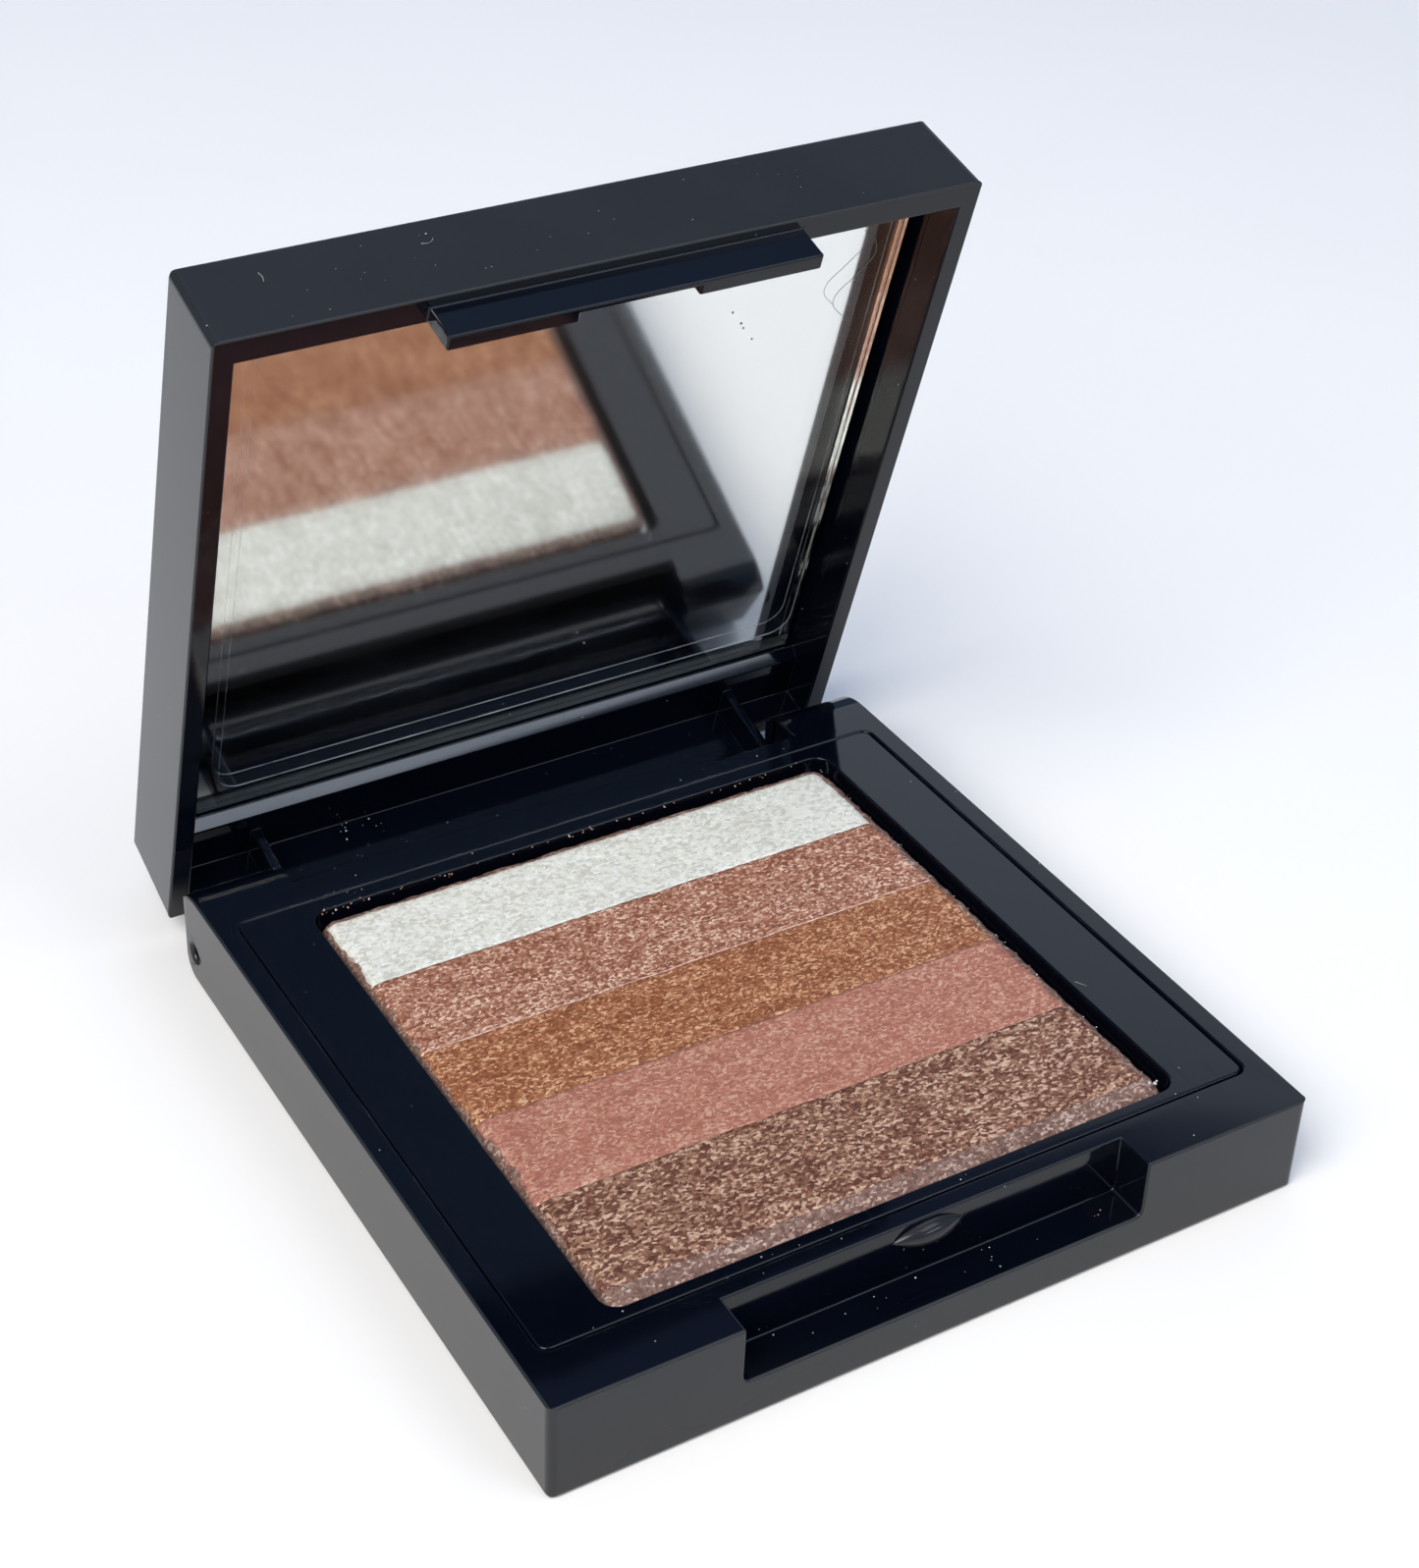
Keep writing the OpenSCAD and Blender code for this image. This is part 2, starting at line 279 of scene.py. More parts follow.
# %% Floor and light
FLOOR_SIZE = 6000
SKY = [
    (0.0, (0.04, 0.06, 0.1)),
    (0.2, (0.12, 0.2, 0.34)),
    (0.4, (0.18, 0.27, 0.44)),
    (0.7, (0.1, 0.15, 0.28)),
    (0.8, (0.2, 0.3, 0.52)),
    (1.0, (0.46, 0.51, 0.57)),
]


def make_floor():
    """A large pale sheet just under the case."""
    bpy.ops.mesh.primitive_grid_add(size=FLOOR_SIZE * MM, x_subdivisions=4, y_subdivisions=4)
    floor = bpy.context.object
    floor.name = "floor"
    paint = Finish("floor_paint", Roughness=0.7)
    mottle = paint.noise(40, paint.place())
    paint.feed("Base Color", paint.mix(mottle, (0.92, 0.9, 0.87), (0.95, 0.93, 0.9)))
    floor.data.materials.append(paint.material)


def make_sky():
    """A dome of dim cool light, in soft bands from the horizon to the top."""
    world = bpy.data.worlds.new("soft_sky")
    bpy.context.scene.world = world
    world.use_nodes = True
    nodes, links = world.node_tree.nodes, world.node_tree.links
    coordinates = nodes.new("ShaderNodeTexCoord")
    split = nodes.new("ShaderNodeSeparateXYZ")
    ramp = nodes.new("ShaderNodeValToRGB")
    Finish.set_stops(ramp.color_ramp, SKY)
    links.new(coordinates.outputs["Generated"], split.inputs["Vector"])
    links.new(split.outputs["Z"], ramp.inputs["Fac"])
    links.new(ramp.outputs["Color"], nodes["Background"].inputs["Color"])


def make_lamp(name, place, aim, size, power, colour):
    """A soft box that faces a point, in millimetres and watts."""
    light = bpy.data.lights.new(name, "AREA")
    light.shape = "RECTANGLE"
    light.size = size[0] * MM
    light.size_y = size[1] * MM
    light.energy = power
    light.color = colour
    lamp = bpy.data.objects.new(name, light)
    bpy.context.scene.collection.objects.link(lamp)
    lamp.location = Vector(place) * MM
    lamp.rotation_euler = (Vector(aim) - Vector(place)).to_track_quat("-Z", "Y").to_euler()


make_floor()
make_sky()
make_lamp("side_window", (-600, -330, 800), (0, 0, 0), (700, 700), 12.0, (1.0, 0.955, 0.88))
make_lamp("front_window", (854, -1572, 837), (0, 35, 8), (920, 210), 4.0, (0.85, 0.95, 1.1))
make_lamp("back_window", (847, 1426, 1118), (0, 0, 8), (1900, 530), 2.75, (0.95, 1.0, 1.07))
make_lamp("top_panel", (315, -378, 756), (0, 0, 0), (520, 320), 1.1, (0.98, 1.0, 1.04))
print("floor, sky and lamps are ready")

# %% [markdown]
# ## Tools for hard pieces
# A moulded part can be built face by face, but cutting it from a block is closer to how its mould is made,
# and easier to follow. prism() gives the block and the cutters, carve() cuts, and round_edges()
# rounds what is left. Real plastic has no sharp edges: it is the thin bright line on each small
# radius that makes the eye read a moulded part.

# %% Outlines, prisms and cuts
def rounded(x0, y0, x1, y1, radius, steps=6):
    """Outline of a rectangle with rounded corners, anticlockwise."""
    corners = ((x1, y1, -1, -1, 0), (x0, y1, 1, -1, 90), (x0, y0, 1, 1, 180), (x1, y0, -1, 1, 270))
    points = []
    for x, y, inward_x, inward_y, start in corners:
        points += arc(x + inward_x * radius, y + inward_y * radius, radius, start, start + 90, steps)
    return points


def arc(x, y, radius, start, end, steps):
    """Points on an arc, from one angle to another in degrees."""
    angles = [math.radians(start + (end - start) * k / steps) for k in range(steps + 1)]
    return [(x + radius * math.cos(a), y + radius * math.sin(a)) for a in angles]


def new_piece(name, bm):
    """Turns a bmesh into an object of the scene."""
    bmesh.ops.recalc_face_normals(bm, faces=bm.faces)
    mesh = bpy.data.meshes.new(name)
    bm.to_mesh(mesh)
    bm.free()
    piece = bpy.data.objects.new(name, mesh)
    bpy.context.scene.collection.objects.link(piece)
    return piece


def prism(name, outline, low, high, axis="Z"):
    """A solid with that outline, from low to high along an axis."""
    order = {"X": (2, 0, 1), "Y": (0, 2, 1), "Z": (0, 1, 2)}[axis]
    bm = bmesh.new()
    rings = []
    for along in (low, high):
        points = [(u, v, along) for u, v in outline]
        rings.append([bm.verts.new([p[k] for k in order]) for p in points])
    bm.faces.new(rings[0])
    bm.faces.new(rings[1])
    for k in range(len(outline)):
        bm.faces.new((rings[0][k - 1], rings[0][k], rings[1][k], rings[1][k - 1]))
    return new_piece(name, bm)


def block(name, low, high):
    """A box from its lowest to its highest corner."""
    outline = [(low[0], low[1]), (high[0], low[1]), (high[0], high[1]), (low[0], high[1])]
    return prism(name, outline, low[2], high[2])


def rod(name, x0, x1, y, z, radius, steps=40):
    """A round rod along X."""
    return prism(name, arc(y, z, radius, 0, 360 * (steps - 1) / steps, steps - 1), x0, x1, "X")


def settle(piece):
    """Makes a piece's modifiers part of its mesh."""
    graph = bpy.context.evaluated_depsgraph_get()
    mesh = bpy.data.meshes.new_from_object(piece.evaluated_get(graph))
    piece.modifiers.clear()
    piece.data = mesh


def carve(piece, cutter, operation="DIFFERENCE"):
    """Cuts one solid from another, or adds it."""
    cut = piece.modifiers.new("cut", "BOOLEAN")
    cut.solver = "EXACT"
    cut.operation = operation
    cut.object = cutter
    bpy.context.view_layer.update()
    settle(piece)
    bpy.data.objects.remove(cutter)


def taper(piece, z_full, z_small, inset):
    """Draws the walls in by a small draft angle, so that the part would leave its mould."""
    for vertex in piece.data.vertices:
        share = (vertex.co.z - z_full) / (z_small - z_full)
        for axis, half in ((0, half_w), (1, half_d)):
            vertex.co[axis] *= 1 - share * inset / half


SHARP = math.radians(35)


def round_edges(piece, widest, radius_at, segments=3):
    """Rounds each sharp edge by the radius that radius_at gives for its middle and direction."""
    bm = bmesh.new()
    bm.from_mesh(piece.data)
    bmesh.ops.dissolve_limit(bm, angle_limit=math.radians(0.5), verts=bm.verts, edges=bm.edges)
    weight = bm.edges.layers.float.new("bevel_weight_edge")
    for edge in bm.edges:
        if len(edge.link_faces) == 2 and edge.calc_face_angle() > SHARP:
            ends = [vertex.co for vertex in edge.verts]
            edge[weight] = radius_at((ends[0] + ends[1]) / 2, (ends[1] - ends[0]).normalized()) / widest
    bm.to_mesh(piece.data)
    bm.free()
    bevel = piece.modifiers.new("rounding", "BEVEL")
    bevel.limit_method = "WEIGHT"
    bevel.width = widest
    bevel.segments = segments
    bevel.use_clamp_overlap = False
    settle(piece)


def finish_piece(piece, body, finish, nodes=(), smooth=True, second=None, is_second=None):
    """Gives a piece its size in metres, its finishes and its body, and hides the CAD nodes it stands for.
    """
    flags = [bool(is_second and is_second(face)) for face in piece.data.polygons]
    if body == "lid":
        piece.data.transform(opened)
    piece.data.transform(Matrix.Scale(MM, 4))
    if smooth:
        for face in piece.data.polygons:
            face.use_smooth = True
        weigh = piece.modifiers.new("flat_faces", "WEIGHTED_NORMAL")
        weigh.weight = 100
        weigh.keep_sharp = False
    piece.data.materials.clear()
    piece.data.materials.append(finish.material)
    if second:
        piece.data.materials.append(second.material)
        for face, flag in zip(piece.data.polygons, flags):
            face.material_index = int(flag)
    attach(piece, body)
    if nodes:
        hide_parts(*nodes)
    print(piece.name, "has", len(piece.data.polygons), "faces")


# %% [markdown]
# ## Black plastic
# The case is moulded in black plastic with a high gloss outside and a deeper gloss on the deck. A
# perfectly clean black would look like ink. What makes it read as a real compact is a faint unevenness
# of the gloss from handling, hair scratches, and grains of pale dust.

# %% Black plastic
DUST_SPACING = 1.7
DUST_COLOUR = (0.75, 0.72, 0.68)
POLISHED = (0.0012, 0.002, 0.005)


def gloss_black(name, colour, gloss, seed):
    """Moulded black plastic with wiped gloss, hair scratches and a little dust."""
    black = Finish(name, Roughness=gloss, IOR=1.38)
    point = black.node(
        "ShaderNodeVectorMath", {"operation": "ADD"}, {0: black.place(), 1: (seed, seed / 2, -seed)}
    )
    wiped = black.noise(9, point, detail=4)
    grain = black.noise(0.25, point)
    streaks = black.noise(0.5, black.place((1, 0.05, 1)), detail=3)
    black.feed("Roughness", gloss + wiped * 0.08 + black.band(streaks, 0.62, 0.75) * 0.05)
    # each cell's own colour decides whether it holds a grain of dust, how wide and how pale
    spot = black.cells(DUST_SPACING, point)
    colours = black.cells(DUST_SPACING, point, "Color")
    chance = black.part_of(colours, 0)
    bright = black.part_of(colours, 1)
    dust = (spot < chance * 0.045) * (chance > 0.6) * bright
    tone = black.mix(wiped, colour, [c * 1.25 for c in colour])
    black.feed("Base Color", black.mix(dust * 0.7, tone, DUST_COLOUR))
    black.feed("Normal", black.bump(grain * 0.4 + wiped, 0.0006))
    return black


case_black = gloss_black("case_black", (0.016, 0.0165, 0.018), 0.14, 0.3)
inner_black = gloss_black("case_black_polished", POLISHED, 0.04, 0.5)
deck_black = gloss_black("deck_black", POLISHED, 0.04, 0.7)
print("black plastics are ready")

# %% [markdown]
# ## Lower case
# The lower case is an open box with a finger notch in front, a snap bead in the notch, and two ears
# at the back that hold the hinge pins. Its side outline has large radii only at the ears, so the
# block is that outline drawn in the YZ plane and extruded across the width.

# %% Lower case
# an edge within SKIN of the block's side, or a face within WALL_SKIN of it, counts as outside
SKIN = 0.5
WALL_SKIN = 0.45
# an edge whose direction has more than this much Z in it counts as upright
UPRIGHT = 0.9
CORNER_R = 0.7
DRAFT_BASE = 0.06
wall = 1.9
deck_low, deck_high = box_mm("deck_tray")
gap = 0.1
pin_low, pin_high = box_mm("hinge_pin_left")
pin_r = (pin_high.z - pin_low.z) / 2
ear_x = 23.75
notch_half = 17
notch_back = -half_d + 3.3
notch_floor = 3.5
deck_t = 1.6
pocket_r = 0.95
hollow_side = 3
hollow_back = 24.4
hollow_floor = 1.3
recess_y = 27
label_x = 15
label_y = 9
label_depth = 0.2
bead_half = 3.05
bead_out = 0.95
bead_z = base_h - 1.4
print(f"notch {2 * notch_half} mm wide, pins {2 * pin_r:.1f} mm thick")


def side_outline():
    """The lower case from the side, as (y, z)."""
    ear_r, heel_r, ear_y = 5, 2, half_d - 3.2
    reach = math.degrees(math.acos((half_d - ear_y) / ear_r))
    front = [(-half_d, base_h), (-half_d, 0)]
    heel = arc(half_d - heel_r, heel_r, heel_r, -90, 0, 8)
    return front + heel + arc(ear_y, base_h - ear_r, ear_r, reach, 90, 8)


def notch_outline():
    """The finger notch from the front, as (x, z)."""
    bottom = 0.6
    low = notch_floor + bottom
    left = arc(-notch_half + bottom, low, bottom, 180, 270, 4)
    right = arc(notch_half - bottom, low, bottom, 270, 360, 4)
    return [(-notch_half, base_h + 1)] + left + right + [(notch_half, base_h + 1)]


def bead():
    """The snap bead: a spindle that lies half in the notch's back wall."""
    rings = 25
    steps = 24
    curve = (bead_half * bead_half + bead_out * bead_out) / (2 * bead_out)
    bm = bmesh.new()
    rows = []
    for k in range(1, rings):
        x = bead_half * (2 * k / rings - 1)
        r = math.sqrt(curve * curve - x * x) - (curve - bead_out)
        angles = [2 * math.pi * j / steps for j in range(steps)]
        rows.append([
            bm.verts.new((x, notch_back + r * math.cos(a), bead_z + r * math.sin(a))) for a in angles
        ])
    for near, far in zip(rows, rows[1:]):
        for j in range(steps):
            bm.faces.new((near[j - 1], near[j], far[j], far[j - 1]))
    for row, tip in ((rows[0], -bead_half), (rows[-1], bead_half)):
        point = bm.verts.new((tip, notch_back, bead_z))
        for j in range(steps):
            bm.faces.new((row[j - 1], row[j], point))
    return new_piece("bead", bm)


def base_radius(middle, along):
    """Edge radius of the lower case."""
    side = abs(middle.x) > half_w - SKIN
    outside = side or abs(middle.y) > half_d - SKIN
    on_ear = middle.y > half_d - 2.5 and middle.z < base_h - 1.5
    if side and on_ear:
        return 0.4
    if side and abs(along.z) > UPRIGHT:
        return CORNER_R if abs(middle.y) > half_d - SKIN else 0.2
    if outside and middle.z < 0.1:
        return 0.4
    if abs(middle.y - hinge_y) < pin_r + 0.1 and abs(middle.z - hinge_z) < pin_r + 0.1:
        return 0.08
    return 0.2 if outside or middle.z > base_h - 0.1 else 0.12


def on_outside(face):
    """True for the faces of the outer walls, which are satin; everything within is polished."""
    x, y, z = face.center
    walls = abs(x) > half_w - WALL_SKIN or abs(y) > half_d - WALL_SKIN
    before_notch = notch_back - 1.2 < y < notch_back - 0.03
    on_bead = before_notch and abs(x) < bead_half and abs(z - bead_z) < bead_out
    return walls or on_bead or z < 0.4 or z > top_z - WALL_SKIN


def make_base():
    """The lower case, cut from a block."""
    over = 1
    case = prism("lower_case", side_outline(), -half_w, half_w, "X")
    taper(case, base_h, 0, DRAFT_BASE)
    pocket = rounded(-half_w + wall, deck_low.y - gap, half_w - wall, deck_high.y + gap, pocket_r)
    carve(case, prism("pocket", pocket, base_h - deck_t, base_h + over))
    hollow_x = half_w - hollow_side
    hollow_low = (-hollow_x, deck_low.y - gap, hollow_floor)
    carve(case, block("hollow", hollow_low, (hollow_x, hollow_back, base_h - over)))
    carve(case, block("recess", (-ear_x, recess_y, -over), (ear_x, half_d + over, base_h + over)))
    carve(case, prism("notch", notch_outline(), -half_d - over, notch_back, "Y"))
    carve(case, rod("pin_bore", -half_w - over, half_w + over, hinge_y, hinge_z, pin_r))
    label = rounded(-label_x, -label_y, label_x, label_y, 1)
    carve(case, prism("label_pocket", label, -over, label_depth))
    round_edges(case, CORNER_R, base_radius)
    # rounding can push a corner of the heel through the table, so it is lifted back
    for vertex in case.data.vertices:
        vertex.co.z = max(vertex.co.z, 0)
    carve(case, bead(), "UNION")
    finish_piece(case, "base", inner_black, ["base_shell"], True, case_black, on_outside)


make_base()

# %% [markdown]
# ## Deck tray
# The deck is a separate glossy plate that drops into the case and carries the well for the pan. The
# fine dark line round it is the gap to the case, wider on the right.

# %% Deck tray
well_x = 24.4
well_y0 = -25.85
well_y1 = 23.35
well_floor = 4.4
well_r = 1.5
well_wall = 1
well_rear_wall = 0.95
plate_r = 0.8
deck_edge = 0.15
print(f"well {2 * well_x:.1f} x {well_y1 - well_y0:.1f} mm")


def make_deck():
    """The deck plate with the well, cut from a block."""
    plate = rounded(deck_low.x, deck_low.y, deck_high.x, deck_high.y, plate_r)
    tray = prism("deck", plate, base_h - deck_t, base_h)
    under_low = (-well_x - well_wall, deck_low.y, well_floor - well_wall)
    under_high = (well_x + well_wall, well_y1 + well_rear_wall, base_h - deck_t / 2)
    carve(tray, block("under", under_low, under_high), "UNION")
    well = rounded(-well_x, well_y0, well_x, well_y1, well_r)
    carve(tray, prism("well", well, well_floor, base_h + 1))
    round_edges(tray, deck_edge, lambda middle, along: deck_edge if middle.z > base_h - 0.1 else 0.05)
    finish_piece(tray, "base", deck_black, ["deck_tray"])


make_deck()

# %% [markdown]
# ## Lid
# The lid is a shallow tray with a mirror in it, a catch tab at its free end and a knuckle that runs on the
# hinge pins. It is cut in the closed position, where its walls are square to the axes.

# %% Lid
DRAFT_LID = 0.15
# the mirror lies in a pocket behind the rims; the ledge is the lower floor between it and the web
inner_x = half_w - 1.8
rim_y0 = -half_d + 2.35
mirror_z = base_h + 4.35
ledge_z = mirror_z - 1.15
mirror_y1 = half_d - 7.05
glass_t = 1.2
pocket_z = mirror_z + glass_t + 0.95
rear_wall_y = half_d - 1.8
knuckle_x = ear_x - 0.2
knuckle_r = half_d - hinge_y
tab_half = 15.6
tab_y0 = -half_d + 0.95
tab_out = 3.2
tab_relief = 5
lid_seam = 0.03
slope_d = 0.85
slope_h = 0.91
rib_t = 0.9
rib_d = 2.7
rim_step = 0.7
rear_rim_y = 29
bore_length = 8
bore_play = 0.04
print(f"mirror pocket {2 * inner_x:.1f} x {mirror_y1 - rim_y0:.1f} mm, tab {2 * tab_half:.1f} mm wide")


def lid_radius(middle, along):
    """Edge radius of the lid."""
    side = abs(middle.x) > half_w - SKIN
    end = abs(middle.y) > half_d - SKIN
    if side and end and abs(along.z) > UPRIGHT:
        return CORNER_R
    if middle.z > top_z - 0.1:
        return 0.35
    if side or end or middle.z < base_h + 0.1:
        return 0.2
    return 0.1


def hollow_lid(lid, over=1):
    """Cuts the mirror's pocket, its ledge, the sloped edge under it and the low rear rim."""
    carve(lid, block("pocket", (-inner_x, rim_y0, base_h - over), (inner_x, mirror_y1, pocket_z)))
    front, back = mirror_y1 - 0.1, mirror_y1 + slope_d
    slope = [
        (front, ledge_z - over), (back, ledge_z - over), (back, ledge_z),
        (mirror_y1, ledge_z + slope_h), (front, ledge_z + slope_h),
    ]
    carve(lid, prism("slope", slope, -inner_x, inner_x, "X"))
    carve(lid, block("shallow", (-inner_x, 0, base_h - over), (inner_x, rear_wall_y, ledge_z)))
    rim_high = (inner_x, half_d + over, base_h + rim_step)
    carve(lid, block("rear_rim", (-inner_x, rear_rim_y, base_h - over), rim_high))


def make_knuckle():
    """The knuckle that runs on the pins, with a rib at each end."""
    top = ledge_z + 0.5
    knuckle = block("knuckle", (-knuckle_x, rear_wall_y, hinge_z), (knuckle_x, half_d, top))
    carve(knuckle, rod("barrel", -knuckle_x, knuckle_x, hinge_y, hinge_z, knuckle_r), "UNION")
    for side in (-1, 1):
        ends = sorted((side * knuckle_x, side * (knuckle_x - rib_t)))
        rib = block("rib", (ends[0], rear_wall_y - rib_d, hinge_z), (ends[1], half_d, top))
        carve(knuckle, rib, "UNION")
    return knuckle


def make_tab(over=1):
    """The catch tab, relieved in the middle where it passes the bead."""
    low = base_h - tab_out
    tab = block("tab", (-tab_half, tab_y0, low), (tab_half, rim_y0, base_h + 0.5))
    relief_low = (-tab_relief, -half_d + 1.5, low - over)
    carve(tab, block("relief", relief_low, (tab_relief, rim_y0 + over, base_h - 0.3)))
    return tab


def make_lid():
    """The lid, cut from a block in its closed place and turned open."""
    lid = block("lid", (-half_w, -half_d, base_h + lid_seam), (half_w, half_d, top_z))
    taper(lid, base_h, top_z, DRAFT_LID)
    hollow_lid(lid)
    carve(lid, make_knuckle(), "UNION")
    carve(lid, make_tab(), "UNION")
    for side in (-1, 1):
        ends = sorted((side * (knuckle_x + 1), side * (knuckle_x - bore_length)))
        carve(lid, rod("bore", *ends, hinge_y, hinge_z, pin_r + bore_play))
    round_edges(lid, CORNER_R, lid_radius)
    finish_piece(lid, "lid", inner_black, ["lid_shell"], True, case_black, on_outside)


make_lid()

# %% [markdown]
# ## Mirror
# A cosmetic mirror is a sheet of clear glass, silvered on its back. One mirror-like face would be
# enough for the reflection, but the real one shows it twice, faintly from the front of the glass and fully
# from the silver behind it. So glass and silver stay two pieces. The silver begins a hair's breadth inside
# the glass: with a thin gap between them, light would cross two more surfaces and come back much darker.

# %% Mirror
glass_margin = 0.7
glass_play = 0.1
glass_edge = 0.12
silver_inset = 0.02
silver_t = 0.1


def mirror_glass_finish():
    """Clear float glass, with the faintest haze of fingerprints."""
    glass = Finish("mirror_glass", IOR=1.36, Transmission_Weight=1.0, Roughness=0.0)
    glass.shader.inputs["Base Color"].default_value = (0.99, 1.0, 0.995, 1)
    haze = glass.noise(6, glass.place(), detail=3)
    glass.feed("Roughness", glass.band(haze, 0.55, 0.8) * 0.012)
    return glass


def edge_finish():
    """The ground edge of the glass, dulled with dark paint."""
    edge = Finish("mirror_edge", Roughness=0.5)
    grain = edge.noise(0.3, edge.place())
    edge.feed("Base Color", edge.mix(grain, (0.01, 0.014, 0.016), (0.03, 0.04, 0.042)))
    return edge


def silver_finish():
    """Silvering seen through the glass."""
    silver = Finish("mirror_silver", Metallic=1.0, Roughness=0.055)
    cloud = silver.noise(20, silver.place())
    silver.feed("Base Color", silver.mix(cloud, (0.83, 0.835, 0.815), (0.86, 0.86, 0.84)))
    return silver


def make_mirror():
    """The glass with ground edges, and the silver behind it."""
    x = inner_x - glass_margin
    y0 = rim_y0 + glass_play
    y1 = mirror_y1 - glass_play
    glass = block("mirror_pane", (-x, y0, mirror_z), (x, y1, mirror_z + glass_t))
    round_edges(glass, glass_edge, lambda middle, along: glass_edge, 1)
    finish_piece(
        glass, "lid", mirror_glass_finish(), ["mirror_glass"], False,
        edge_finish(), lambda face: abs(face.normal.y) > 0.5,
    )
    back = mirror_z + glass_t
    sheet = rounded(-x, y0, x, y1, 0.2)
    silver = prism("mirror_silvering", sheet, back - silver_inset, back + silver_t)
    finish_piece(silver, "lid", silver_finish(), ["mirror_silver"], smooth=False)


make_mirror()

# %% [markdown]
# ## Protective film
# A new palette has a thin clear film on its mirror. The film itself can't be seen, only its cut edge and
# the edge's own reflection, a few tenths of a millimetre apart. A clear shader that bends light would
# dim the mirror behind it, so the film hides by Alpha instead: its faces almost nothing, its cut edge
# about half.

# %% Protective film
def film_finish(name, low, high):
    """Clear film, or its cut edge, by how much of the mirror it hides."""
    film = Finish(name, IOR=1.4)
    haze = film.noise(5, film.place(), detail=3)
    film.feed("Base Color", film.mix(haze, (0.5, 0.52, 0.54), (0.62, 0.63, 0.64)))
    film.feed("Roughness", haze * 0.2)
    film.feed("Alpha", film.band(haze, 0.3, 0.8) * (high - low) + low)
    return film


film_left = -26.5
film_right = 29
film_free_end = 1.5
film_hinge_end = 2.5
film_r = 2
film_t = 0.1
film_gap = 0.01


def make_film():
    """A sheet a little smaller than the mirror, laid off centre."""
    y0 = rim_y0 + film_free_end
    y1 = mirror_y1 - film_hinge_end
    outline = rounded(film_left, y0, film_right, y1, film_r)
    film = prism("protective_film", outline, mirror_z - film_t - film_gap, mirror_z - film_gap)
    finish_piece(
        film, "lid", film_finish("film_clear", 0.0, 0.002), ["mirror_film"], False,
        film_finish("film_edge", 0.35, 0.75), lambda face: abs(face.normal.z) < 0.5,
    )


make_film()

# %% [markdown]
# ## Pressed powder
# The powder is one cake: five stripes pressed side by side on a pink backing, whose crumbly rim shows
# round them. Displacing a plane with a texture would make every stripe the same, so the height is a
# Python function of the place, made of grain that runs along the stripes and slow waves, and each stripe's
# edges wander a little.

# %% Powder surface
GRID = 0.28


def wobble(along, seed, size):
    """A wandering line, in millimetres."""
    slow = noise.noise(Vector((along * 0.35, seed, 1.7)))
    quick = noise.noise(Vector((along * 1.9, seed, 5.1)))
    return size * (slow + 0.5 * quick)


def grain_height(x, y):
    """Relief of the pressed surface, in millimetres."""
    grain = noise.noise(Vector((x * 1.1, y * 2.6, 0.5)))
    fine = noise.noise(Vector((x * 2.3, y * 4.6, 8.5)))
    slow = noise.noise(Vector((x * 0.12, y * 0.2, 3.0)))
    return 0.022 * grain + 0.014 * fine + 0.05 * slow


def edge_drop(distance, width, depth):
    """How far the surface rounds down near an edge."""
    share = max(0.0, 1 - distance / width)
    return depth * share * share


print("middle of the powder stands", round(grain_height(0, 0), 3), "mm off its level")

# %% [markdown]
# ## Stripes
# A stripe is a grid of small faces: rows run along it, columns across. Its borders are shared: a line
# wanders the same way for the stripe in front of it and the one behind, so they meet without a gap. The
# top rounds down at the cake's edges, where the press leaves the powder loose.

# %% Stripes
EDGE_WIDTH = 0.7
EDGE_DEPTH = 0.3
FRONT_DEPTH = 0.25
BORDER_WIDTH = 0.3
BORDER_DEPTH = 0.02
stripe_names = ["powder_taupe", "powder_pink", "powder_bronze", "powder_rose", "powder_pearl"]
stripe_boxes = [box_mm(name) for name in stripe_names]
stripe_left = stripe_boxes[0][0].x
stripe_right = stripe_boxes[0][1].x
stripe_lines = [stripe_boxes[0][0].y] + [high.y for low, high in stripe_boxes]
powder_top = stripe_boxes[0][1].z
powder_low = stripe_boxes[0][0].z
print("stripe borders at y =", [round(y, 1) for y in stripe_lines])


def stripe_line(number, x):
    """Where a stripe's border runs."""
    size = 0.3 if number in (0, 5) else 0.12
    return stripe_lines[number] + wobble(x, number * 3.3, size)


def stripe_side(side, y):
    """Where the stripes end on the left (-1) or the right (1)."""
    if side < 0:
        return stripe_left - 0.22 + wobble(y, 21.4, 0.26)
    return stripe_right + wobble(y, 33.9, 0.3)


